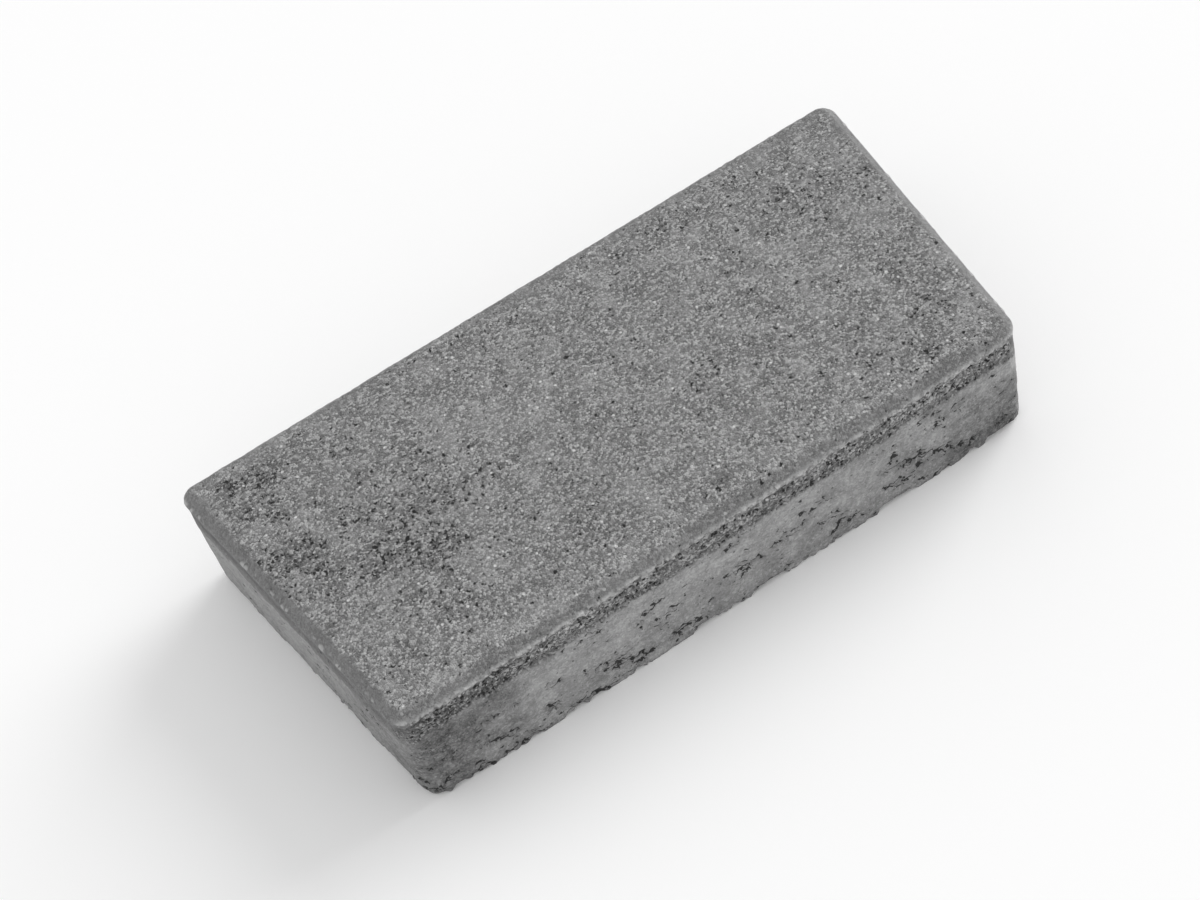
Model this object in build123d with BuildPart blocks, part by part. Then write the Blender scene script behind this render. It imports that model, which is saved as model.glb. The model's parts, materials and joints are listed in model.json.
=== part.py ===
from build123d import *

import os

# A wedge-shaped mowing edge stone, pressed in a steel mould as one piece of concrete.
# It lies on its bed face, as it is laid: +X runs along the stone, +Y towards its long side, +Z up.
# The origin is on the bed, midway along the stone and midway between its two long faces.

# Driving dimensions in millimetres. The sides are measured to the sharp corners of the plan.
LONG_SIDE = 250.0
SHORT_SIDE = 220.0
WIDTH = 120.0
HEIGHT = 45.0
UPRIGHT_EDGE_RADIUS = 6.0
TOP_CHAMFER = 3.0

# Plan of the mould: a wedge, for the edge of a lawn that follows a curve, with its long side outside.
# The upright edges are rounded, because a sharp corner would break off as the stone leaves the mould.
with BuildPart() as mowing_edge_stone:
    with BuildSketch(Plane.XY) as plan:
        with BuildLine():
            Polyline(
                (-SHORT_SIDE / 2, -WIDTH / 2),
                (SHORT_SIDE / 2, -WIDTH / 2),
                (LONG_SIDE / 2, WIDTH / 2),
                (-LONG_SIDE / 2, WIDTH / 2),
                close=True,
            )
        make_face()
        fillet(plan.vertices(), UPRIGHT_EDGE_RADIUS)
    extrude(amount=HEIGHT)

    # The press head bevels the rim of the walked-on face all the way round, corners included.
    top_face = mowing_edge_stone.faces().sort_by(Axis.Z)[-1]
    chamfer(top_face.edges(), TOP_CHAMFER)

mowing_edge_stone.part.label = "mowing_edge_stone"

os.makedirs("parts", exist_ok=True)
export_step(mowing_edge_stone.part, "parts/mowing_edge_stone.step")
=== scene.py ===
# %% [markdown]
# # A concrete mowing edge stone
# This stone lies flush along a lawn, so that a mower's wheel can run on it. It is one piece of
# concrete, shaken and pressed in a steel mould: a dark fine mix for the face that is walked on, and
# a paler coarse mix under it. The lesson makes that piece as one closed mesh, with Geometry Nodes
# for its form and its hollows, and one node material for both mixes.

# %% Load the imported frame
import json
import math

import bmesh
import bpy
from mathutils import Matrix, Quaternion, Vector


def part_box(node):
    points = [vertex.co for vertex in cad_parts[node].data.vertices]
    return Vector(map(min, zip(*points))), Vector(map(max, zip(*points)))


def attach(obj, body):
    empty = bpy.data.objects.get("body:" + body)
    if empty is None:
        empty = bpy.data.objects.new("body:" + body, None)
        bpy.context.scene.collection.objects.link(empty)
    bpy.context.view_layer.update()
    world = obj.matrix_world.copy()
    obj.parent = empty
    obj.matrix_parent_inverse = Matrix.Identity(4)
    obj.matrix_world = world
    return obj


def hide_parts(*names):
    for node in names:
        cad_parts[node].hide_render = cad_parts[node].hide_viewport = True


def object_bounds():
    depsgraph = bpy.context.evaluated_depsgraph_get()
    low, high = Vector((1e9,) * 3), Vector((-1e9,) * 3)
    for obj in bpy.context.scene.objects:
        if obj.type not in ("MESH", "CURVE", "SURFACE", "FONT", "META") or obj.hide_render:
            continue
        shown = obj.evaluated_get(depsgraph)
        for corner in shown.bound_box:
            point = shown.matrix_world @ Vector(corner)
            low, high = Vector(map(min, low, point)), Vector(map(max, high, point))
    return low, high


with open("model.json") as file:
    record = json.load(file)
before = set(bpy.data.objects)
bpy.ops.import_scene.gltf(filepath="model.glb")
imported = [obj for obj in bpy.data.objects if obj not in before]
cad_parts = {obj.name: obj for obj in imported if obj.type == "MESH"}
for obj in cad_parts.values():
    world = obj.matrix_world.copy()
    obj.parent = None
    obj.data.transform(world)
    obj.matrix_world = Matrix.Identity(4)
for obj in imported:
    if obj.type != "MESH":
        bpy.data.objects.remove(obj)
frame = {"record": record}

CAD_LOW, CAD_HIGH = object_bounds()
print("frame loaded, box in mm:", [round(1000 * (b - a), 1) for a, b in zip(CAD_LOW, CAD_HIGH)])

# %% [markdown]
# ## Two helpers
# Colours are written as sRGB hex, as a colour picker shows them, and Blender's nodes want linear
# light, so one function turns the one into the other. A second function adds a node to a tree with
# its settings and its links. It works for geometry and for materials, because both kinds of tree
# take the same noise and maths nodes, and this lesson uses that: one recipe feeds both.

# %% Colour and node helpers
def linear(code):
    """An sRGB hex colour as linear RGBA."""
    parts = [int(code[i:i + 2], 16) / 255 for i in (1, 3, 5)]
    return [c / 12.92 if c <= 0.04045 else ((c + 0.055) / 1.055) ** 2.4 for c in parts] + [1.0]


def add(tree, kind, inputs=(), **settings):
    """Adds a node. Inputs are values, nodes or sockets, by place or, in a dict, by socket name."""
    node = tree.nodes.new(kind)
    for name, value in settings.items():
        setattr(node, name, value)
    free = [socket for socket in node.inputs if socket.enabled]
    named = inputs.items() if isinstance(inputs, dict) else enumerate(inputs)
    for key, value in named:
        socket = free[key] if isinstance(key, int) else next(s for s in free if s.name == key)
        if isinstance(value, bpy.types.Node):
            value = next(s for s in value.outputs if s.enabled)
        if isinstance(value, bpy.types.NodeSocket):
            tree.links.new(value, socket)
        else:
            socket.default_value = value
    return node


print("mid grey #808080 is", round(linear("#808080")[0], 3), "in linear light")

# %% [markdown]
# ## The stone's sizes
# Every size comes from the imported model, so that the mesh lies where the solid does. The box gives
# the width and the height. The right end face is a mount of the record, and its place and direction
# say how long the stone is at the middle and how much longer it grows towards its long side. The
# bevel begins twice as high as the middle of that face.

# %% Sizes in millimetres
STONE = "mowing_edge_stone"
MM = 1000.0
low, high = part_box(STONE)
end_face = next(m for m in frame["record"]["mounts"] if m["name"] == "right_end_face")
WIDTH = (high[1] - low[1]) * MM
HEIGHT = (high[2] - low[2]) * MM
MIDDLE_LENGTH = 2 * end_face["pos_m"][0] * MM
END_SLOPE = -end_face["axis"][1] / end_face["axis"][0]
WALL_TOP = 2 * end_face["pos_m"][2] * MM
BEVEL = HEIGHT - WALL_TOP
EDGE_RADIUS = 6.0
RIM = WALL_TOP + BEVEL * math.sqrt(2)  # the way up the wall and the bevel, to the edge of the top
print(f"width {WIDTH:.1f}, height {HEIGHT:.1f}, length {MIDDLE_LENGTH:.1f}, bevel {BEVEL:.1f} mm")

# %% [markdown]
# ## A net for the stone
# The form follows a rule, so Geometry Nodes make it. One way is to sweep a wall along the outline
# and to fill the top, but a filled face has no points inside that could become hollows. Here a cube
# made of many small squares is pulled over the stone like a net instead: it is closed from the
# start, and each square is about a millimetre wide. Where the two mixes meet, and on the bevel, the
# rows lie twice as close, because the finest shapes are there. The sizes, the depths of the marks
# and the seed of the noises are inputs of the tree.

# %% The tree, its named inputs and the net
NET_ALONG, NET_ACROSS, NET_UP = 246, 119, 59
CLOSE_ROWS_FROM = 32.0  # mm up the wall
CLOSE_ROWS_SHARE = 0.48

form = bpy.data.node_groups.new("pressed_stone", "GeometryNodeTree")
form.interface.new_socket("Geometry", in_out="OUTPUT", socket_type="NodeSocketGeometry")
TREE_INPUTS = {
    "Middle Length": MIDDLE_LENGTH,
    "End Slope": END_SLOPE,
    "Width": WIDTH,
    "Wall Top": WALL_TOP,
    "Bevel": BEVEL,
    "Edge Radius": EDGE_RADIUS,
    "Pit Depth": 0.4,
    "Crevice Depth": 0.8,
    "Burr Height": 0.4,
    "Chip Depth": 1.6,
    "Seed": 3,
}
modifier_values = {}
for name, value in TREE_INPUTS.items():
    kind = "NodeSocketInt" if isinstance(value, int) else "NodeSocketFloat"
    item = form.interface.new_socket(name, in_out="INPUT", socket_type=kind)
    modifier_values[item.identifier] = value
given = add(form, "NodeGroupInput").outputs

net = add(form, "GeometryNodeMeshCube", {
    "Size": (2.0, 2.0, 2.0),
    "Vertices X": NET_ALONG,
    "Vertices Y": NET_ACROSS,
    "Vertices Z": NET_UP,
})
along, across, up = add(form, "ShaderNodeSeparateXYZ", (add(form, "GeometryNodeInputPosition"),)).outputs
print("net of", NET_ALONG, "by", NET_ACROSS, "by", NET_UP, "points with", len(TREE_INPUTS), "inputs")

# %% [markdown]
# ## Up the wall and over the bevel
# The height in the net becomes a walk up the stone's side, in millimetres: straight up the wall,
# then at 45 degrees over the bevel, where each step up is also a step inwards.

# %% Climb, inset and rise
rows_split = 1 - 2 * CLOSE_ROWS_SHARE
bevel_way = add(form, "ShaderNodeMath", (given["Bevel"], math.sqrt(2)), operation="MULTIPLY")
rim = add(form, "ShaderNodeMath", (given["Wall Top"], bevel_way), operation="ADD")
close_rows = add(form, "ShaderNodeMath", (rim, CLOSE_ROWS_FROM), operation="SUBTRACT")
lower_rows = add(form, "ShaderNodeMapRange", (up, -1.0, rows_split, 0.0, CLOSE_ROWS_FROM))
upper_rows = add(form, "ShaderNodeMapRange", (up, rows_split, 1.0, 0.0, close_rows))
climb = add(form, "ShaderNodeMath", (lower_rows, upper_rows), operation="ADD")
inset = add(form, "ShaderNodeMapRange", (climb, given["Wall Top"], rim, 0.0, given["Bevel"]))
on_wall = add(form, "ShaderNodeMath", (climb, given["Wall Top"]), operation="MINIMUM")
rise = add(form, "ShaderNodeMath", (on_wall, inset), operation="ADD")
print(f"the walk from the bed to the rim of the top is {RIM:.2f} mm")

# %% [markdown]
# ## The wedge and its rounded upright edges
# In plan the net is a square from -1 to 1. Its half width is the stone's, less the inset, and its
# half length grows with y, which makes the wedge. The four upright edges are rounded: a point that
# is nearer to both sides than the radius is pulled inwards, so that the corner of the square
# becomes a quarter of a circle.

# %% Half sizes at each height
half_width = add(form, "ShaderNodeMath", (given["Width"], 0.5), operation="MULTIPLY")
half_width = add(form, "ShaderNodeMath", (half_width, inset), operation="SUBTRACT")
slant = add(form, "ShaderNodeMath", (given["End Slope"], given["End Slope"], 1.0), operation="MULTIPLY_ADD")
slant = add(form, "ShaderNodeMath", (slant,), operation="SQRT")
slanted_inset = add(form, "ShaderNodeMath", (inset, slant), operation="MULTIPLY")
half_middle = add(form, "ShaderNodeMath", (given["Middle Length"], 0.5), operation="MULTIPLY")
half_middle = add(form, "ShaderNodeMath", (half_middle, slanted_inset), operation="SUBTRACT")
radius = add(form, "ShaderNodeMath", (given["Edge Radius"], inset), operation="SUBTRACT")
plain_y = add(form, "ShaderNodeMath", (across, half_width), operation="MULTIPLY")
lengthening = add(form, "ShaderNodeMath", (plain_y, given["End Slope"]), operation="MULTIPLY")
half_length = add(form, "ShaderNodeMath", (half_middle, lengthening), operation="ADD")
print(f"half length from {(MIDDLE_LENGTH - WIDTH * END_SLOPE) / 2:.1f}",
      f"to {(MIDDLE_LENGTH + WIDTH * END_SLOPE) / 2:.1f} mm")


# %% Plan with rounded corners
def nearness(position, half_size):
    """How far a point is from a side, and 0 to 1 as it comes nearer to it than the radius."""
    size = add(form, "ShaderNodeMath", (position,), operation="ABSOLUTE")
    size = add(form, "ShaderNodeMath", (1.0, size), operation="SUBTRACT")
    gap = add(form, "ShaderNodeMath", (size, half_size), operation="MULTIPLY")
    near = add(form, "ShaderNodeMapRange", (gap, 0.0, radius, 1.0, 0.0))
    return gap, near


def rounded(plain, side, near, other_near):
    """A coordinate pulled in at the corners, as the square's corner becomes a quarter circle."""
    square = add(form, "ShaderNodeMath", (other_near, other_near), operation="MULTIPLY")
    kept = add(form, "ShaderNodeMath", (square, -0.5, 1.0), operation="MULTIPLY_ADD")
    kept = add(form, "ShaderNodeMath", (kept,), operation="SQRT")
    lost = add(form, "ShaderNodeMath", (1.0, kept), operation="SUBTRACT")
    pull = add(form, "ShaderNodeMath", (lost, near), operation="MULTIPLY")
    pull = add(form, "ShaderNodeMath", (pull, radius), operation="MULTIPLY")
    sign = add(form, "ShaderNodeMath", (side,), operation="SIGN")
    pull = add(form, "ShaderNodeMath", (pull, sign), operation="MULTIPLY")
    return add(form, "ShaderNodeMath", (plain, pull), operation="SUBTRACT")


end_gap, near_end = nearness(along, half_length)
side_gap, near_side = nearness(across, half_width)
y = rounded(plain_y, across, near_side, near_end)
half_length = add(form, "ShaderNodeMath", (y, given["End Slope"], half_middle), operation="MULTIPLY_ADD")
plain_x = add(form, "ShaderNodeMath", (along, half_length), operation="MULTIPLY")
x = rounded(plain_x, along, near_end, near_side)
smooth_place = add(form, "ShaderNodeCombineXYZ", (x, y, rise))
print("plan of the wedge in", len(form.nodes), "nodes so far")

# %% [markdown]
# ## Coordinates that stay with the surface
# The marks that the press leaves depend on where a point lay in the mould: how far up the wall or
# in from the rim, and whether on an end or on a long side. These are stored as attributes on the
# smooth stone, before it gets its hollows, and so is the place for the noises, which the seed moves
# along. The material reads them too, so a dark hollow in the colour lies in the hollow of the mesh.

# %% Where a point lay in the mould
SEED_STEP = 97.0  # mm from one seed's noises to the next
inward = add(form, "ShaderNodeMath", (end_gap, side_gap), operation="MINIMUM")
top_or_bed = add(form, "ShaderNodeMath", (up,), operation="SIGN")
walk = add(form, "ShaderNodeMath", (inward, top_or_bed, climb), operation="MULTIPLY_ADD")
gap_difference = add(form, "ShaderNodeMath", (side_gap, end_gap), operation="SUBTRACT")
gap_difference = add(form, "ShaderNodeMath", (gap_difference, given["Edge Radius"]), operation="DIVIDE")
on_end = add(form, "ShaderNodeMapRange", (gap_difference, -1.0, 1.0, 0.0, 1.0))
seed_shift = add(form, "ShaderNodeMath", (given["Seed"], SEED_STEP), operation="MULTIPLY")
grain_place = add(form, "ShaderNodeVectorMath", (smooth_place, seed_shift), operation="ADD")
print("noises of seed", TREE_INPUTS["Seed"], "begin at", TREE_INPUTS["Seed"] * SEED_STEP, "mm")

# %% [markdown]
# ## Where the mix was dry, and where shadow is painted
# The stone is not the same all over. Where the mix was dry it did not close, and pits stand together.
# At the front left corner and low at the right end of the front the walls lie in shadow, and that
# shadow is painted into the colour. A noise alone would spread such places anywhere, so some are
# listed where the photograph shows them, and a noise frays their edges and adds weaker ones. Along
# the back rim the paste closed over the sand, and the dryness is below zero there.

# %% Dry places and places of painted shadow
DRY_PLACES = (  # x, y, z and radius in mm
    (-74, -4, 45, 24),
    (-108, 42, 45, 12),
    (-107, 2, 45, 13),
    (92, 32, 45, 14),
)
# Places of painted shadow: the front left corner and the low right end of the front, where shade falls.
SHADOWED_PLACES = ((-112, -60, 16, 40), (104, -60, 0, 22))
PLACE_NOISE, FRAY = 22.0, 70.0  # mm
PLACE_EDGE_SHARES = (1.2, 0.4)  # of the radius, where a place begins and where it is full
WEAK_DRY, WEAK_SHADOW = (0.52, 0.68, 0.5), (0.48, 0.32, 0.3)  # noise for none, for full, and strength
STRIP_FROM, STRIP_FULL, STRIP_FRAY = 4.5, 2.5, 16.0  # mm in from the rim
STRIP_CLOSURE = 0.8
BACK_FROM, BACK_FULL = 0.5, 0.8  # of the way from the middle to the long side

place_noise = add(form, "ShaderNodeTexNoise", {
    "Vector": grain_place,
    "Scale": 1 / PLACE_NOISE,
    "Detail": 3.0,
})
fray = add(form, "ShaderNodeMath", (place_noise, -0.5), operation="ADD")
spread = []
for places, (none, full, most) in ((DRY_PLACES, WEAK_DRY), (SHADOWED_PLACES, WEAK_SHADOW)):
    strength = add(form, "ShaderNodeMapRange", (place_noise, none, full, 0.0, most))
    for *middle, radius_mm in places:
        away = add(form, "ShaderNodeVectorMath", (smooth_place, middle), operation="DISTANCE")
        away = add(form, "ShaderNodeMath", (fray, FRAY, away), operation="MULTIPLY_ADD")
        begins, is_full = [share * radius_mm for share in PLACE_EDGE_SHARES]
        inside = add(form, "ShaderNodeMapRange", (away, begins, is_full, 0.0, 1.0))
        strength = add(form, "ShaderNodeMath", (strength, inside), operation="MAXIMUM")
    spread.append(strength)
dryness, shadowed = spread
strip = add(form, "ShaderNodeMath", (fray, STRIP_FRAY, inward), operation="MULTIPLY_ADD")
strip = add(form, "ShaderNodeMapRange", (strip, STRIP_FROM, STRIP_FULL, 0.0, STRIP_CLOSURE))
closed = add(form, "ShaderNodeMapRange", (across, BACK_FROM, BACK_FULL, 0.0, strip))
dryness = add(form, "ShaderNodeMath", (dryness, closed), operation="SUBTRACT")
print(len(DRY_PLACES), "dry places and", len(SHADOWED_PLACES), "damp ones put by hand")

# %% [markdown]
# ## Storing them
# Store Named Attribute writes each value on the points, and Set Position then pulls the net over
# the stone, in metres.

# %% Store the attributes and pull the net over
stone = net
for name, kind, value in (
    ("walk_mm", "FLOAT", walk),
    ("end_side", "FLOAT", on_end),
    ("dryness", "FLOAT", dryness),
    ("shadowed", "FLOAT", shadowed),
    ("grain_mm", "FLOAT_VECTOR", grain_place),
):
    stone = add(form, "GeometryNodeStoreNamedAttribute", {
        "Geometry": stone.outputs[0],
        "Name": name,
        "Value": value,
    }, data_type=kind, domain="POINT")
in_metres = add(form, "ShaderNodeVectorMath", {"Vector": smooth_place, "Scale": 1 / MM}, operation="SCALE")
stone = add(form, "GeometryNodeSetPosition", {"Geometry": stone, "Position": in_metres})
print("stored walk_mm, end_side, dryness, damp and grain_mm")

# %% [markdown]
# ## The zones of the stone, as a recipe
# From the bed up, a side shows the core mix, then the face mix, then the bevel, which the press rubs
# smooth, and then the sandy top. Under the bevel the face mix of a long side is a rough band, and on
# an end the mould has rubbed it smooth too. A seam runs where the mixes meet, a shallow groove whose
# dark is painted shade, and along the rim of a long side the sand is paler. The borders wander, so
# each is a walk that noise pushes up and down. The recipe only uses nodes that both kinds of tree
# have, so that the geometry and the material can call it.

# %% Recipe for the zones
FACE_FOOT, END_FACE_FOOT = 32.6, 29.5  # mm up the wall
SAND_FROM, END_SAND_FROM = RIM - 0.6, RIM + 0.2
CLOUD, CLOUD_SWAY = 9.0, 12.0  # mm: size of the noise, and how far it pushes a border
LUMP, LUMP_SWAY = 3.0, 6.0
RIM_SWAY, END_RIM_SWAY = 0.5, 0.4  # shares of that way
FOOT_SWAY, END_FOOT_SWAY = 0.4, 0.9
SEAM_UP, SEAM_HALF_WIDTH = 1.5, 2.6
PALE_RIM_IN, PALE_RIM_HALF_WIDTH = 2.4, 2.8
SAND_BLEND, FACE_BLEND = 1.0, 0.7  # mm to either side of a border
BAND_FROM, BAND_FULL = WALL_TOP + 0.3, WALL_TOP - 0.5
BED_FULL, BED_END = -1.0, 0.6
END_FULL, END_FROM = 1.0, 0.1
SKIN_SANDINESS, CORE_SANDINESS = 0.5, 0.3
EDGE_FRAY = 2.5  # how far the rough band frays out at the upright edges


def stone_zones(tree, place, walk, on_end, dryness):
    """Masks from 0 to 1 for the zones, with the two noises that their borders follow."""
    zones = {}
    sway = 0.0
    for name, size, push in (("cloud", CLOUD, CLOUD_SWAY), ("lump", LUMP, LUMP_SWAY)):
        noise = add(tree, "ShaderNodeTexNoise", {"Vector": place, "Scale": 1 / size, "Detail": 2.0})
        zones[name] = add(tree, "ShaderNodeMath", (noise, 0.5), operation="SUBTRACT")
        sway = add(tree, "ShaderNodeMath", (zones[name], push, sway), operation="MULTIPLY_ADD")
    past = []
    for border, end_border, share, end_share in (
        (SAND_FROM, END_SAND_FROM, RIM_SWAY, END_RIM_SWAY),
        (FACE_FOOT, END_FACE_FOOT, FOOT_SWAY, END_FOOT_SWAY),
    ):
        share = add(tree, "ShaderNodeMapRange", (on_end, 0.0, 1.0, share, end_share))
        border = add(tree, "ShaderNodeMapRange", (on_end, 0.0, 1.0, border, end_border))
        swayed = add(tree, "ShaderNodeMath", (sway, share, walk), operation="MULTIPLY_ADD")
        past.append(add(tree, "ShaderNodeMath", (swayed, border), operation="SUBTRACT"))
    past_rim, above_foot = past
    frayed_end = add(tree, "ShaderNodeMath", (zones["lump"], EDGE_FRAY, on_end), operation="MULTIPLY_ADD")
    from_strip = {}
    for name, past_border, middle in (
        ("seam", above_foot, SEAM_UP),
        ("pale_rim", past_rim, PALE_RIM_IN),
    ):
        away = add(tree, "ShaderNodeMath", (past_border, middle), operation="SUBTRACT")
        from_strip[name] = add(tree, "ShaderNodeMath", (away,), operation="ABSOLUTE")
    for name, value, none, full in (
        ("top", past_rim, -SAND_BLEND, SAND_BLEND),
        ("face", above_foot, -FACE_BLEND, FACE_BLEND),
        ("below_face", above_foot, FACE_BLEND, -FACE_BLEND),
        ("below_arris", walk, BAND_FROM, BAND_FULL),
        ("long_side", frayed_end, END_FULL, END_FROM),
        ("off_bed", walk, BED_FULL, BED_END),
        ("bed", walk, BED_END, BED_FULL),
        ("seam", from_strip["seam"], SEAM_HALF_WIDTH, 0.0),
        ("pale_rim", from_strip["pale_rim"], PALE_RIM_HALF_WIDTH, 0.0),
    ):
        zones[name] = add(tree, "ShaderNodeMapRange", (value, none, full), interpolation_type="SMOOTHSTEP")
    zones["top"] = add(tree, "ShaderNodeMapRange", (dryness, -1.0, 0.0, 0.0, zones["top"]))
    for name, first, second in (
        ("seam", "seam", "long_side"),
        ("pale_rim", "pale_rim", "long_side"),
        ("pale_rim", "pale_rim", "top"),
        ("skin", "face", "long_side"),
        ("band", "skin", "below_arris"),
        ("core", "below_face", "off_bed"),
    ):
        zones[name] = add(tree, "ShaderNodeMath", (zones[first], zones[second]), operation="MULTIPLY")
    zones["skin"] = add(tree, "ShaderNodeMapRange", (zones["top"], 0.0, 1.0, zones["skin"], 0.0))
    zones["sandy"] = 0.0
    for zone, share in (
        ("top", 1.0),
        ("band", 1.0),
        ("bed", 1.0),
        ("skin", SKIN_SANDINESS),
        ("core", CORE_SANDINESS),
    ):
        part = add(tree, "ShaderNodeMath", (zones[zone], share), operation="MULTIPLY")
        zones["sandy"] = add(tree, "ShaderNodeMath", (part, zones["sandy"]), operation="MAXIMUM")
    zones["dry"] = add(tree, "ShaderNodeMath", (dryness, zones["band"]), operation="MAXIMUM")
    return zones


print(f"face mix from {FACE_FOOT} mm up, and {END_FACE_FOOT} mm on the ends")

# %% [markdown]
# ## Pits
# A pit is a hole that a lump of sand left behind, so pits are single, of any size and not quite
# round. Voronoi cells give one point to each cell: near the point is the pit, and a random number
# of the cell, its lot, says how wide it is, or that there is none. In dry places more cells have
# one. Noise bends the space, and a finer one makes the outlines ragged.

# %% Recipe for the pits
PIT_CELL = 1.6  # mm
PIT_BEND = (1.3, 1.3, 1.3)  # mm
PIT_RAGS = 0.8  # mm
RAG_SHARES = (0.4, 1.5)  # of the width, at the low and at the high end of the noise
LOW_RAG, HIGH_RAG = 0.35, 0.65
FIRM_WIDEST, DRY_WIDEST, PIT_WALL = 0.50, 0.62, 0.22  # shares of a cell
FIRM_CHANCE, DRY_CHANCE = 0.06, 0.85


def single_spots(tree, place, cell, chance, widest, wall, full):
    """A mask from 0 to full for spots, one in each cell whose lot is under the chance."""
    cells = add(tree, "ShaderNodeTexVoronoi", {"Vector": place, "Scale": 1 / cell})
    lot = add(tree, "ShaderNodeSeparateXYZ", (cells.outputs["Color"],)).outputs[0]
    width = add(tree, "ShaderNodeMapRange", (lot, 0.0, chance, widest, 0.0))
    floor = add(tree, "ShaderNodeMath", (width, wall), operation="SUBTRACT")
    return add(tree, "ShaderNodeMapRange", (cells.outputs["Distance"], width, floor, 0.0, full),
               interpolation_type="SMOOTHSTEP")


def dry_pits(tree, place, sand, zones):
    """A mask from 0 to 1 for the pits in sandy places."""
    bend = sand.outputs["Color"]
    bent = add(tree, "ShaderNodeVectorMath", (bend, PIT_BEND, place), operation="MULTIPLY_ADD")
    rags = add(tree, "ShaderNodeTexNoise", {"Vector": place, "Scale": 1 / PIT_RAGS, "Detail": 1.0})
    chance = add(tree, "ShaderNodeMapRange", (zones["dry"], 0.0, 1.0, FIRM_CHANCE, DRY_CHANCE))
    chance = add(tree, "ShaderNodeMath", (chance, zones["sandy"]), operation="MULTIPLY")
    widest = add(tree, "ShaderNodeMapRange", (zones["dry"], 0.0, 1.0, FIRM_WIDEST, DRY_WIDEST))
    share = add(tree, "ShaderNodeMapRange", (rags, LOW_RAG, HIGH_RAG, *RAG_SHARES))
    ragged = add(tree, "ShaderNodeMath", (widest, share), operation="MULTIPLY")
    full = add(tree, "ShaderNodeMapRange", (zones["sandy"], 0.0, CORE_SANDINESS, 0.0, 1.0))
    return single_spots(tree, bent, PIT_CELL, chance, ragged, PIT_WALL, full)


print(f"a share of {FIRM_CHANCE} to {DRY_CHANCE} of the cells of {PIT_CELL} mm has a pit")

# %% [markdown]
# ## Crevices
# The core mix is coarse and moist, and where its lumps did not close up, crevices stay open, and the shade
# in them is painted near black.
# A noise is 0.5 along lines that wind about like the outlines on a map, so a crevice is where the
# noise is close to 0.5. It is stretched along the wall and has many octaves, so the lines are jagged.
# A second noise opens them in patches, most of them low on the wall and in the places of painted
# shadow, and the sand breaks them up.

# %% Recipe for the crevices
CREVICE, CREVICE_PATCH = 2.2, 5.0  # mm
LYING = (0.45, 0.45, 1.0)
LOW_OPENING, HIGH_OPENING, END_OPENING = 0.006, -0.025, -0.02
LOW_UP_TO = 3.0  # mm up the wall
NO_PATCH, FULL_PATCH = 0.44, 0.62  # values of the noise
PATCH_OPENING = (-0.06, 0.04)
SAND_OPENING, SHADOWED_OPENING = 0.14, 0.02
LIP_FROM, LIP_TO = -0.004, 0.012


def wall_crevices(tree, place, walk, on_end, shadowed, zones):
    """Masks from 0 to 1 for the crevices in the core mix, and for the patches that they stand in."""
    lying = add(tree, "ShaderNodeVectorMath", (place, LYING), operation="MULTIPLY")
    jagged = add(tree, "ShaderNodeTexNoise", {"Vector": lying, "Scale": 1 / CREVICE, "Detail": 3.0})
    from_line = add(tree, "ShaderNodeMath", (jagged, 0.5), operation="SUBTRACT")
    from_line = add(tree, "ShaderNodeMath", (from_line,), operation="ABSOLUTE")
    noise = add(tree, "ShaderNodeTexNoise", {"Vector": lying, "Scale": 1 / CREVICE_PATCH, "Detail": 2.0})
    patches = add(tree, "ShaderNodeMapRange", (noise, NO_PATCH, FULL_PATCH, 0.0, 1.0))
    opening = add(tree, "ShaderNodeMapRange", (walk, LOW_UP_TO, FACE_FOOT, LOW_OPENING, HIGH_OPENING))
    opening = add(tree, "ShaderNodeMath", (on_end, END_OPENING, opening), operation="MULTIPLY_ADD")
    in_patch = add(tree, "ShaderNodeMapRange", (patches, 0.0, 1.0, *PATCH_OPENING))
    opening = add(tree, "ShaderNodeMath", (opening, in_patch), operation="ADD")
    opening = add(tree, "ShaderNodeMath", (zones["sand"], SAND_OPENING, opening), operation="MULTIPLY_ADD")
    opening = add(tree, "ShaderNodeMath", (shadowed, SHADOWED_OPENING, opening), operation="MULTIPLY_ADD")
    depth = add(tree, "ShaderNodeMath", (opening, from_line), operation="SUBTRACT")
    crevices = add(tree, "ShaderNodeMapRange", (depth, LIP_FROM, LIP_TO, 0.0, zones["core"]),
                   interpolation_type="SMOOTHSTEP")
    return crevices, patches


print("crevices follow a noise of", CREVICE, "mm in patches of", CREVICE_PATCH, "mm")

# %% [markdown]
# ## Burr, gaps and chips
# Paste squeezed up between mould and stamp leaves a burr along the arris under the bevel: a pale line
# on the long sides, with few beads on it, and more beads on the ends. The burr stands out of the mesh,
# and its paleness is partly the paste's own and partly a painted highlight where it catches the light.
# The wall under it has small gaps, and on the ends they run together to a dark line, which is darkest
# at the upright edges; the dark of the gaps and of that line is painted shade under the arris. Along
# the bed the edge crumbles when the stone is pushed off its board, so it is chipped.

# %% Recipes for the burr, the gaps and the chips
BURR_AT, END_BURR_AT, BURR_HALF_WIDTH = WALL_TOP - 0.4, WALL_TOP + 0.4, 1.5
GAPS_AT, GAPS_HALF_WIDTH = WALL_TOP - 3.2, 2.2
END_GAPS_AT, END_GAPS_HALF_WIDTH = WALL_TOP - 5.5, 6.0
CREST_HALF_WIDTH = 0.1
GAP = 1.6  # mm
NO_GAP, FULL_GAP = 0.57, 0.66  # values of the noise
NO_LINE, FULL_LINE = 0.25, 0.60
LINE_STRENGTH, END_GAP_STRENGTH, EDGE_GAP_STRENGTH = 0.7, 0.4, 0.9
LINE_UNTIL, LINE_GONE = 0.4, 0.8  # shares of the way round an upright edge, to the end
END_GAPS_FROM, END_GAPS_FULL = 0.5, 0.9
EDGE_GAPS_FROM, EDGE_GAPS_FULL = 0.45, 0.15  # shares of that way, from its middle
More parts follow.
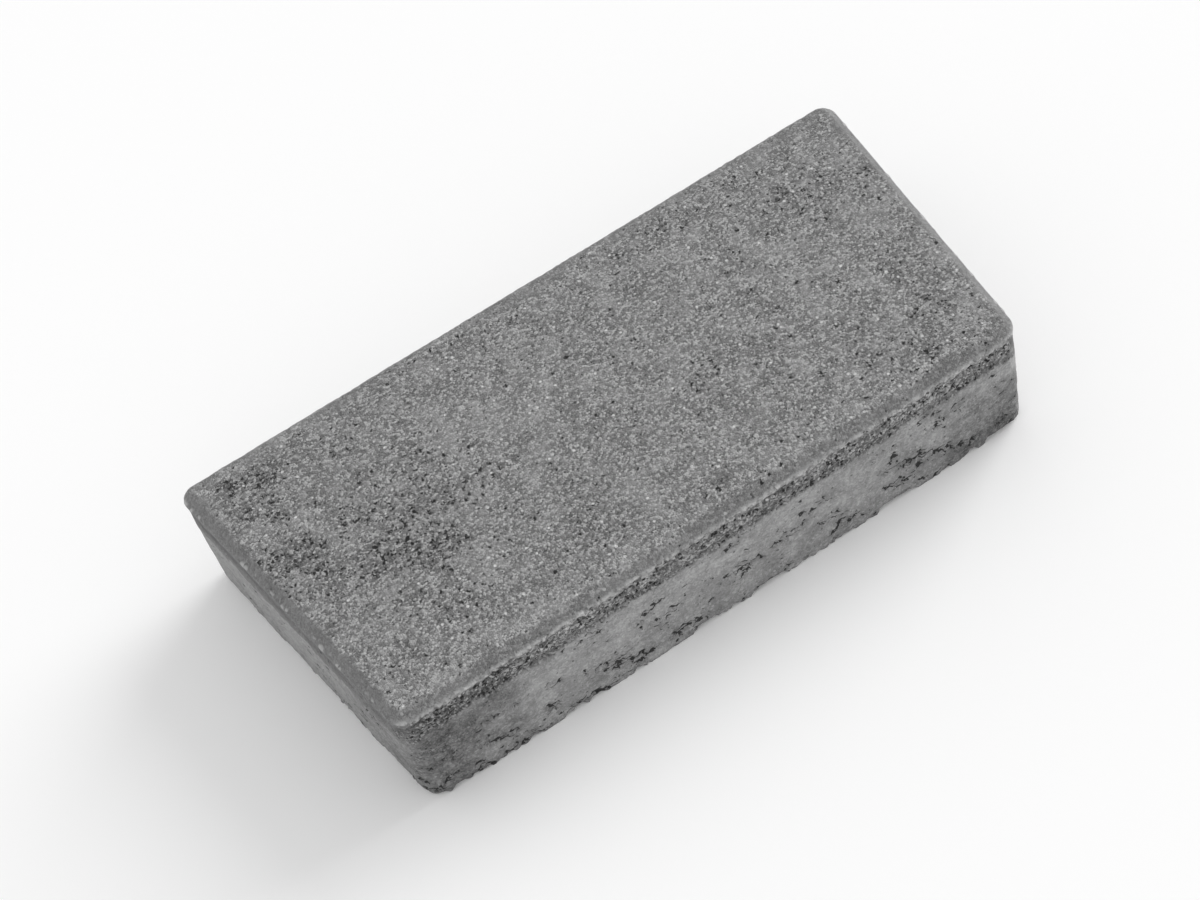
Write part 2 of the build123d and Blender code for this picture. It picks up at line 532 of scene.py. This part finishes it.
END_GAP_BREAKS = 3.0  # how much the clouds break up the dark line on the ends
BEAD_CELL = 3.0  # mm
BEAD_CHANCE, END_BEAD_CHANCE = 0.55, 0.7
BEAD_STRENGTH, END_BEAD_STRENGTH = 1.0, 0.65
BEAD_BEND = (1.2, 1.2, 1.2)  # mm
WIDEST_BEAD, BEAD_EDGE = 0.58, 0.22  # shares of a cell
CHIP_REACH = 3.0
CHIP_LUMPS = 0.6
NO_CHIP, FULL_CHIP = -0.10, 0.13  # values of the noise


def arris_burr(tree, place, walk, on_end, zones):
    """Masks from 0 to 1 for the line and the beads of paste on the arris, and for gaps under it."""
    noise = add(tree, "ShaderNodeTexNoise", {"Vector": place, "Scale": 1 / GAP, "Detail": 1.0})
    line = add(tree, "ShaderNodeMapRange", (on_end, LINE_UNTIL, LINE_GONE, LINE_STRENGTH, 0.0))
    line = add(tree, "ShaderNodeMapRange", (noise, NO_LINE, FULL_LINE, 0.0, line))
    chance = add(tree, "ShaderNodeMapRange", (on_end, 0.0, 1.0, BEAD_CHANCE, END_BEAD_CHANCE))
    bend = noise.outputs["Color"]
    bent = add(tree, "ShaderNodeVectorMath", (bend, BEAD_BEND, place), operation="MULTIPLY_ADD")
    strength = add(tree, "ShaderNodeMapRange", (on_end, 0.0, 1.0, BEAD_STRENGTH, END_BEAD_STRENGTH))
    beads = single_spots(tree, bent, BEAD_CELL, chance, WIDEST_BEAD, BEAD_EDGE, strength)
    burr = add(tree, "ShaderNodeMath", (line, beads), operation="MAXIMUM")
    # Painted shade: the gaps under the arris run together to a dark line on the ends, darkest at the
    # upright edges under the corners of the bevel.
    from_edge = add(tree, "ShaderNodeMath", (on_end, 0.5), operation="SUBTRACT")
    from_edge = add(tree, "ShaderNodeMath", (from_edge,), operation="ABSOLUTE")
    edge_line = add(tree, "ShaderNodeMapRange",
                    (from_edge, EDGE_GAPS_FROM, EDGE_GAPS_FULL, 0.0, EDGE_GAP_STRENGTH))
    gap_line = add(tree, "ShaderNodeMath", (zones["cloud"], END_GAP_BREAKS, END_GAP_STRENGTH),
                   operation="MULTIPLY_ADD")
    gap_line = add(tree, "ShaderNodeMapRange", (on_end, END_GAPS_FROM, END_GAPS_FULL, 0.0, gap_line))
    gap_line = add(tree, "ShaderNodeMath", (gap_line, edge_line), operation="MAXIMUM")
    gaps = add(tree, "ShaderNodeMapRange", (noise, NO_GAP, FULL_GAP, gap_line, 1.0))
    masks = []
    for middle, end_middle, half_width, end_half_width, full in (
        (BURR_AT, END_BURR_AT, BURR_HALF_WIDTH, BURR_HALF_WIDTH, burr),
        (GAPS_AT, END_GAPS_AT, GAPS_HALF_WIDTH, END_GAPS_HALF_WIDTH, gaps),
    ):
        middle = add(tree, "ShaderNodeMapRange", (on_end, 0.0, 1.0, middle, end_middle))
        half_width = add(tree, "ShaderNodeMapRange", (on_end, 0.0, 1.0, half_width, end_half_width))
        away = add(tree, "ShaderNodeMath", (walk, middle), operation="SUBTRACT")
        away = add(tree, "ShaderNodeMath", (away,), operation="ABSOLUTE")
        masks.append(add(tree, "ShaderNodeMapRange", (away, half_width, CREST_HALF_WIDTH, 0.0, full),
                         interpolation_type="SMOOTHSTEP"))
    return masks


def bed_chips(tree, walk, zones):
    """A mask from 0 to 1 for the chips along the edge of the bed."""
    ragged = add(tree, "ShaderNodeMath", (zones["lump"], CHIP_LUMPS, zones["cloud"]),
                 operation="MULTIPLY_ADD")
    chipped = add(tree, "ShaderNodeMapRange", (ragged, NO_CHIP, FULL_CHIP),
                  interpolation_type="SMOOTHSTEP")
    from_edge = add(tree, "ShaderNodeMath", (walk,), operation="ABSOLUTE")
    return add(tree, "ShaderNodeMapRange", (from_edge, CHIP_REACH, 0.0, 0.0, chipped),
               interpolation_type="SMOOTHSTEP")


print("burr", 2 * BURR_HALF_WIDTH, "mm wide, chips reach", CHIP_REACH, "mm from the edge")

# %% [markdown]
# ## All marks together
# One function makes the zones and the marks, and the noise of the sand that roughens them. The
# geometry calls it first and the material later, each for its own tree.

# %% Recipe for the whole stone
SAND = 1.8  # mm


def press_marks(tree, place, walk, on_end, dryness, shadowed):
    """Every zone and mark of the stone as a mask from 0 to 1, and the noises around 0."""
    marks = stone_zones(tree, place, walk, on_end, dryness)
    sand = add(tree, "ShaderNodeTexNoise", {"Vector": place, "Scale": 1 / SAND, "Detail": 1.0})
    marks["sand"] = add(tree, "ShaderNodeMath", (sand, 0.5), operation="SUBTRACT")
    marks["pits"] = dry_pits(tree, place, sand, marks)
    marks["crevices"], marks["patches"] = wall_crevices(tree, place, walk, on_end, shadowed, marks)
    marks["burr"], marks["gaps"] = arris_burr(tree, place, walk, on_end, marks)
    marks["chips"] = bed_chips(tree, walk, marks)
    return marks


print("sand roughens the stone at", SAND, "mm")

# %% [markdown]
# ## Hollows and burrs in the mesh
# Each zone has its own roughness, and the hollows go in along the normal. On the bed nothing may
# stand out below the floor, so the place is held at zero or higher at the end.

# %% Heights of the relief
ZONE_ROUGHNESS = {"top": 0.5, "band": 1.3, "core": 0.35, "bed": 0.7}
LEAST_ROUGHNESS = 0.1
SWELL = 0.5
SEAM_DEPTH = 0.35

place, walk, on_end, dryness, shadowed = [
    add(form, "GeometryNodeInputNamedAttribute", {"Name": name}, data_type=kind)
    for name, kind in (
        ("grain_mm", "FLOAT_VECTOR"),
        ("walk_mm", "FLOAT"),
        ("end_side", "FLOAT"),
        ("dryness", "FLOAT"),
        ("shadowed", "FLOAT"),
    )
]
marks = press_marks(form, place, walk, on_end, dryness, shadowed)

roughness = LEAST_ROUGHNESS
for zone, amount in ZONE_ROUGHNESS.items():
    roughness = add(form, "ShaderNodeMath", (marks[zone], amount, roughness), operation="MULTIPLY_ADD")
height = add(form, "ShaderNodeMath", (marks["sand"], roughness), operation="MULTIPLY")
height = add(form, "ShaderNodeMath", (marks["cloud"], SWELL, height), operation="MULTIPLY_ADD")
burr_height = add(form, "ShaderNodeMath", (marks["burr"], given["Burr Height"]), operation="MULTIPLY")
height = add(form, "ShaderNodeMath", (height, burr_height), operation="ADD")
for name, depth in (
    ("pits", given["Pit Depth"]),
    ("crevices", given["Crevice Depth"]),
    ("gaps", given["Pit Depth"]),
    ("chips", given["Chip Depth"]),
    ("seam", SEAM_DEPTH),
):
    hollow = add(form, "ShaderNodeMath", (marks[name], depth), operation="MULTIPLY")
    height = add(form, "ShaderNodeMath", (height, hollow), operation="SUBTRACT")
print("relief in", len(form.nodes), "nodes")

# %% Push the mesh in and out
height_m = add(form, "ShaderNodeMath", (height, 1 / MM), operation="MULTIPLY")
push = add(form, "ShaderNodeVectorMath", {
    "Vector": add(form, "GeometryNodeInputNormal"),
    "Scale": height_m,
}, operation="SCALE")
pushed = add(form, "ShaderNodeVectorMath", (add(form, "GeometryNodeInputPosition"), push), operation="ADD")
on_floor = add(form, "ShaderNodeVectorMath", (pushed, (-1.0, -1.0, 0.0)), operation="MAXIMUM")
stone = add(form, "GeometryNodeSetPosition", {"Geometry": stone, "Position": on_floor})
print("nothing of the bed stands lower than the floor")

# %% [markdown]
# ## Pressed concrete: what it is made of
# Concrete is sand and gravel in cement paste, so it is neutral grey, matt and never even. The face
# mix shows its sand: each grain is a small Voronoi cell with a brightness of its own, a random number
# squared, because most grains are dull and few are bright. Some grains are missing and leave a pore,
# more of them in dry places, and a few are pale quartz. Dust is finer than the eye can part, and is
# drawn as coarse as it needs to show.

# %% Material: grains and dust
GRAIN, QUARTZ, DUST = 0.68, 1.5, 0.4  # mm
FIRM_PORES, DRY_PORES = 0.02, 0.14  # shares of the grains
QUARTZ_SHARE = 0.03
QUARTZ_EDGE_SHARES = (0.40, 0.24)  # of a cell, where a piece begins and where it is full
MEAN_SQUARE = 1 / 3  # of a random number from 0 to 1

concrete = bpy.data.materials.new("pressed_concrete")
concrete.use_nodes = True
look = concrete.node_tree
look.nodes.clear()

place = add(look, "ShaderNodeAttribute", attribute_name="grain_mm").outputs["Vector"]
walk, on_end, dryness, shadowed = [
    add(look, "ShaderNodeAttribute", attribute_name=name).outputs["Fac"]
    for name in ("walk_mm", "end_side", "dryness", "shadowed")
]
marks = press_marks(look, place, walk, on_end, dryness, shadowed)

grains = add(look, "ShaderNodeTexVoronoi", {"Vector": place, "Scale": 1 / GRAIN})
grain_shade, pore_lot, _ = add(look, "ShaderNodeSeparateXYZ", (grains.outputs["Color"],)).outputs
grain_shade = add(look, "ShaderNodeMath", (grain_shade, grain_shade), operation="MULTIPLY")
grain_shade = add(look, "ShaderNodeMath", (grain_shade, MEAN_SQUARE), operation="SUBTRACT")
pore_share = add(look, "ShaderNodeMapRange", (marks["dry"], 0.0, 1.0, FIRM_PORES, DRY_PORES))
pore_share = add(look, "ShaderNodeMath", (pore_share, marks["sandy"]), operation="MULTIPLY")
pores = add(look, "ShaderNodeMath", (pore_lot, pore_share), operation="LESS_THAN")
pebbles = add(look, "ShaderNodeTexVoronoi", {"Vector": place, "Scale": 1 / QUARTZ})
quartz_lot = add(look, "ShaderNodeSeparateXYZ", (pebbles.outputs["Color"],)).outputs[0]
quartz = add(look, "ShaderNodeMath", (quartz_lot, QUARTZ_SHARE), operation="LESS_THAN")
quartz = add(look, "ShaderNodeMath", (quartz, marks["sandy"]), operation="MULTIPLY")
from_middle = pebbles.outputs["Distance"]
quartz = add(look, "ShaderNodeMapRange", (from_middle, *QUARTZ_EDGE_SHARES, 0.0, quartz))
dust = add(look, "ShaderNodeTexNoise", {"Vector": place, "Scale": 1 / DUST, "Detail": 2.0})
dust = add(look, "ShaderNodeMath", (dust, 0.5), operation="SUBTRACT")
print("sand grains of", GRAIN, "mm, quartz of", QUARTZ, "mm")

# %% [markdown]
# ## Pressed concrete: colours
# The core mix is the palest. The bevel has a skin of paste over its grains and looks darker and
# smoother. The walls are cloudy, and painted shade darkens their foot and the shadowed places.

# %% Material: colours of the zones
CORE_GREY = "#9b9b9b"
FACE_GREYS = {"face": "#7a7a7a", "band": "#959595", "top": "#888888", "bed": "#8c8c8c"}

colour = linear(CORE_GREY)
for zone, grey in FACE_GREYS.items():
    colour = add(look, "ShaderNodeMix", {
        "Factor": marks[zone],
        "A": colour,
        "B": linear(grey),
    }, data_type="RGBA").outputs[2]
print("greys:", CORE_GREY, "for the core and", FACE_GREYS)

# %% Material: mottle and painted shade on the walls
FOOT_SHADE, FOOT_SHADE_TOP = 0.28, 20.0  # share, and mm up the wall
PAINTED_SHADOW = 0.55
BAND_MOTTLE_AND_SHADE_SHARE, END_MOTTLE_AND_SHADE_SHARE = 0.5, 0.6
STAIN_CLOUDS = {"cloud": 1.2, "lump": 0.8, "sand": 0.2, "patches": 0.10}

# Painted shade: the walls grow darker towards the bed, where the floor shades their foot, and in the
# shadowed places; the clouds, lumps, sand and patches add the wall's own mottle.
foot_shade = add(look, "ShaderNodeMapRange", (walk, 0.0, FOOT_SHADE_TOP, FOOT_SHADE, 0.0))
mottle_and_shade = add(look, "ShaderNodeMath", (shadowed, PAINTED_SHADOW), operation="MULTIPLY")
mottle_and_shade = add(look, "ShaderNodeMath", (mottle_and_shade, foot_shade), operation="MAXIMUM")
for noise, amount in STAIN_CLOUDS.items():
    mottle_and_shade = add(look, "ShaderNodeMath", (marks[noise], amount, mottle_and_shade), operation="MULTIPLY_ADD")
wall = add(look, "ShaderNodeMath", (marks["band"], BAND_MOTTLE_AND_SHADE_SHARE), operation="MULTIPLY")
wall = add(look, "ShaderNodeMath", (wall, marks["core"]), operation="ADD")
end_share = add(look, "ShaderNodeMapRange", (on_end, 0.0, 1.0, 1.0, END_MOTTLE_AND_SHADE_SHARE))
wall = add(look, "ShaderNodeMath", (wall, end_share), operation="MULTIPLY")
mottle_and_shade = add(look, "ShaderNodeMath", (mottle_and_shade, wall), operation="MULTIPLY")
print("the foot is darker by", FOOT_SHADE, "and damp places by", PAINTED_SHADOW)

# %% Material: grain by grain
GRAININESS = {"top": 0.95, "band": 0.6, "skin": 0.4, "bed": 0.3}
LEAST_GRAIN = 0.35
SMEAR_SHARE = 0.7  # of the grain shows through a smear of paste
NO_SMEAR, FULL_SMEAR = 0.02, 0.12  # values of the noise
UNEVENNESS = {"sand": 0.2, "lump": 0.2, "cloud": 0.45, "dry": -0.08, "pale_rim": 0.16}
DUST_CONTRAST, CORE_DUST_CONTRAST = 1.2, 0.6

grainy = LEAST_GRAIN
for zone, amount in GRAININESS.items():
    grainy = add(look, "ShaderNodeMath", (marks[zone], amount, grainy), operation="MULTIPLY_ADD")
smear = add(look, "ShaderNodeMapRange", (marks["cloud"], NO_SMEAR, FULL_SMEAR, 1.0, SMEAR_SHARE))
grainy = add(look, "ShaderNodeMath", (grainy, smear), operation="MULTIPLY")
shade = add(look, "ShaderNodeMath", (1.0, mottle_and_shade), operation="SUBTRACT")
shade = add(look, "ShaderNodeMath", (grain_shade, grainy, shade), operation="MULTIPLY_ADD")
dusty = add(look, "ShaderNodeMapRange", (marks["core"], 0.0, 1.0, DUST_CONTRAST, CORE_DUST_CONTRAST))
shade = add(look, "ShaderNodeMath", (dust, dusty, shade), operation="MULTIPLY_ADD")
for noise, amount in UNEVENNESS.items():
    shade = add(look, "ShaderNodeMath", (marks[noise], amount, shade), operation="MULTIPLY_ADD")
colour = add(look, "ShaderNodeMix", {
    "Factor": 1.0,
    "A": colour,
    "B": add(look, "ShaderNodeCombineColor", (shade, shade, shade)),
}, data_type="RGBA", blend_type="MULTIPLY").outputs[2]
print("grain contrast by zone:", GRAININESS)

# %% Material: painted shade in the hollows, pale quartz and the burr's painted highlight
# Painted shade: pits, pores, crevices, the gaps under the arris and the seam are mixed towards near black,
# the shade that falls into these hollows.
HOLLOW_SHADE_GREY, PALE_AND_HIGHLIGHT_GREY = "#1c1c1c", "#d8d8d8"
HOLLOW_SHADE_SHARES = (
    (marks["pits"], 0.96),
    (pores, 0.6),
    (marks["crevices"], 0.92),
    (marks["gaps"], 0.6),
    (marks["seam"], 0.34),
)
# Quartz grains are pale of their own; the burr is pale paste with a painted highlight where it catches the
# light.
PALE_AND_HIGHLIGHT_SHARES = ((quartz, 0.8), (marks["burr"], 0.7))

for shares, grey in ((HOLLOW_SHADE_SHARES, HOLLOW_SHADE_GREY), (PALE_AND_HIGHLIGHT_SHARES, PALE_AND_HIGHLIGHT_GREY)):
    most = 0.0
    for mark, amount in shares:
        part = add(look, "ShaderNodeMath", (mark, amount), operation="MULTIPLY")
        most = add(look, "ShaderNodeMath", (most, part), operation="MAXIMUM")
    colour = add(look, "ShaderNodeMix", {
        "Factor": most,
        "A": colour,
        "B": linear(grey),
    }, data_type="RGBA").outputs[2]
print("hollows go to", HOLLOW_SHADE_GREY, "and quartz and burr to", PALE_AND_HIGHLIGHT_GREY)

# %% [markdown]
# ## Pressed concrete: the surface
# Grains and pores are too fine for the mesh, so a Bump node tilts the shading there. The surface is
# matt like any dry mineral: IOR 1.5 and a high roughness.

# %% Material: fine bump and the surface
BUMP_DEPTH = 0.5  # mm
GRAIN_BUMP, DUST_BUMP, HOLLOW_BUMP = -0.5, 0.6, -0.7  # shares of that depth
ROUGHNESS, IOR = 0.88, 1.5

bump_height = 0.0
for mark, amount in (
    (grains.outputs["Distance"], GRAIN_BUMP),
    (dust, DUST_BUMP),
    (pores, HOLLOW_BUMP),
    (marks["pits"], HOLLOW_BUMP),
    (marks["crevices"], HOLLOW_BUMP),
):
    bump_height = add(look, "ShaderNodeMath", (mark, amount, bump_height), operation="MULTIPLY_ADD")
bump = add(look, "ShaderNodeBump", {
    "Strength": grainy,
    "Distance": BUMP_DEPTH / MM,
    "Height": bump_height,
})
surface = add(look, "ShaderNodeBsdfPrincipled", {
    "Base Color": colour,
    "Roughness": ROUGHNESS,
    "IOR": IOR,
    "Normal": bump,
})
add(look, "ShaderNodeOutputMaterial", {"Surface": surface})
print("pressed_concrete has", len(look.nodes), "nodes")

# %% [markdown]
# ## Make the stone
# The tree ends in Realize Instances and Set Material. Its sizes are set by socket identifier before
# the first evaluation, and the result is turned into a plain mesh that stands for the solid.

# %% Finish the tree and make the mesh
stone = add(form, "GeometryNodeSetShadeSmooth", {"Geometry": stone})
stone = add(form, "GeometryNodeRealizeInstances", (stone,))
stone = add(form, "GeometryNodeSetMaterial", {"Geometry": stone, "Material": concrete})
add(form, "NodeGroupOutput", (stone,))

carrier = bpy.data.objects.new("stone_net", bpy.data.meshes.new("stone_net"))
bpy.context.scene.collection.objects.link(carrier)
modifier = carrier.modifiers.new("pressed_stone", "NODES")
modifier.node_group = form
for identifier, value in modifier_values.items():
    modifier[identifier] = value

evaluated = carrier.evaluated_get(bpy.context.evaluated_depsgraph_get())
mesh = bpy.data.meshes.new_from_object(evaluated)
mesh.name = "edge_stone"
bpy.data.objects.remove(carrier)
edge_stone = bpy.data.objects.new("edge_stone", mesh)
bpy.context.scene.collection.objects.link(edge_stone)
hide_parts(STONE)
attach(edge_stone, "root")

measured = bmesh.new()
measured.from_mesh(mesh)
open_edges = sum(not edge.is_manifold for edge in measured.edges)
triangles = sum(len(face.verts) - 2 for face in measured.faces)
litres = measured.calc_volume(signed=True) * MM
measured.free()
print("edge_stone:", triangles, "triangles,", open_edges, "open edges,", round(litres, 3), "litres")

# %% [markdown]
# ## Floor and light
# The floor is plain and almost white and keeps the soft shadow. The lamp stands low on the right and
# a little behind, as on the photograph, where the right bevel is pale and the others are dark.
# A sun has the same strength everywhere, so the floor stays even, and its wide angle makes it as
# soft as a large studio lamp. An even sky fills the shaded walls.

# %% Floor, sky and lamp
FLOOR_HALF = 6.0
PAPER_WHITE, PAPER_ROUGHNESS = "#fafafa", 0.9
SKY_WHITE, SEEN_SKY_LEVEL = "#ffffff", 1.0
SKY_LEVEL = 0.78
LAMP_LEVEL = 0.25
LAMP_ANGLE = math.radians(40)
LAMP_FROM = Vector((0.88, 0.20, 0.44)).normalized()

floor_mesh = bpy.data.meshes.new("floor")
corners = [(-FLOOR_HALF, -FLOOR_HALF, 0), (FLOOR_HALF, -FLOOR_HALF, 0)]
corners += [(FLOOR_HALF, FLOOR_HALF, 0), (-FLOOR_HALF, FLOOR_HALF, 0)]
floor_mesh.from_pydata(corners, [], [(0, 1, 2, 3)])
floor = bpy.data.objects.new("floor", floor_mesh)
bpy.context.scene.collection.objects.link(floor)
paper = bpy.data.materials.new("white_paper")
paper.use_nodes = True
paper.node_tree.nodes["Principled BSDF"].inputs["Base Color"].default_value = linear(PAPER_WHITE)
paper.node_tree.nodes["Principled BSDF"].inputs["Roughness"].default_value = PAPER_ROUGHNESS
floor_mesh.materials.append(paper)

sky = bpy.data.worlds.new("studio")
sky.use_nodes = True
sky.node_tree.nodes.clear()
seen = add(sky.node_tree, "ShaderNodeLightPath").outputs["Is Camera Ray"]
level = add(sky.node_tree, "ShaderNodeMapRange", (seen, 0.0, 1.0, SKY_LEVEL, SEEN_SKY_LEVEL))
light = add(sky.node_tree, "ShaderNodeBackground", {"Color": linear(SKY_WHITE), "Strength": level})
add(sky.node_tree, "ShaderNodeOutputWorld", {"Surface": light})
bpy.context.scene.world = sky

lamp_data = bpy.data.lights.new("studio_lamp", "SUN")
lamp_data.angle = LAMP_ANGLE
lamp_data.energy = LAMP_LEVEL * math.pi / LAMP_FROM.z
lamp = bpy.data.objects.new("studio_lamp", lamp_data)
lamp.rotation_mode = "QUATERNION"
lamp.rotation_quaternion = LAMP_FROM.to_track_quat("Z", "Y")
bpy.context.scene.collection.objects.link(lamp)
print("light level on the floor:", SKY_LEVEL + LAMP_LEVEL)

# %% [markdown]
# ## Camera
# The eye stands where the photograph was taken from: in front of the short side, towards the left
# end, and high above. The camera is turned to the stone and leans a little, so that the stone slopes
# across the picture as it does in the photograph.

# %% Camera
EYE_AZIMUTH = math.radians(-19.25)
EYE_ELEVATION = math.radians(50.5)
EYE_DISTANCE = 0.693
AIM = Vector((-0.0075, 0.0017, 0.0225))
LEAN = math.radians(-17.8)
LENS, SENSOR_WIDTH = 66.4, 36.0  # mm

middle = (CAD_LOW + CAD_HIGH) / 2
level_way = Vector((math.sin(EYE_AZIMUTH), -math.cos(EYE_AZIMUTH), 0)) * math.cos(EYE_ELEVATION)
eye = middle + EYE_DISTANCE * (level_way + Vector((0, 0, math.sin(EYE_ELEVATION))))
camera_data = bpy.data.cameras.new("camera")
camera_data.lens = LENS
camera_data.sensor_width = SENSOR_WIDTH
camera = bpy.data.objects.new("camera", camera_data)
camera.location = eye
camera.rotation_mode = "QUATERNION"
camera.rotation_quaternion = (AIM - eye).to_track_quat("-Z", "Y") @ Quaternion((0, 0, 1), LEAN)
bpy.context.scene.collection.objects.link(camera)
bpy.context.scene.camera = camera
bpy.context.scene.view_settings.view_transform = "Standard"
print("eye at", [round(c, 3) for c in eye])
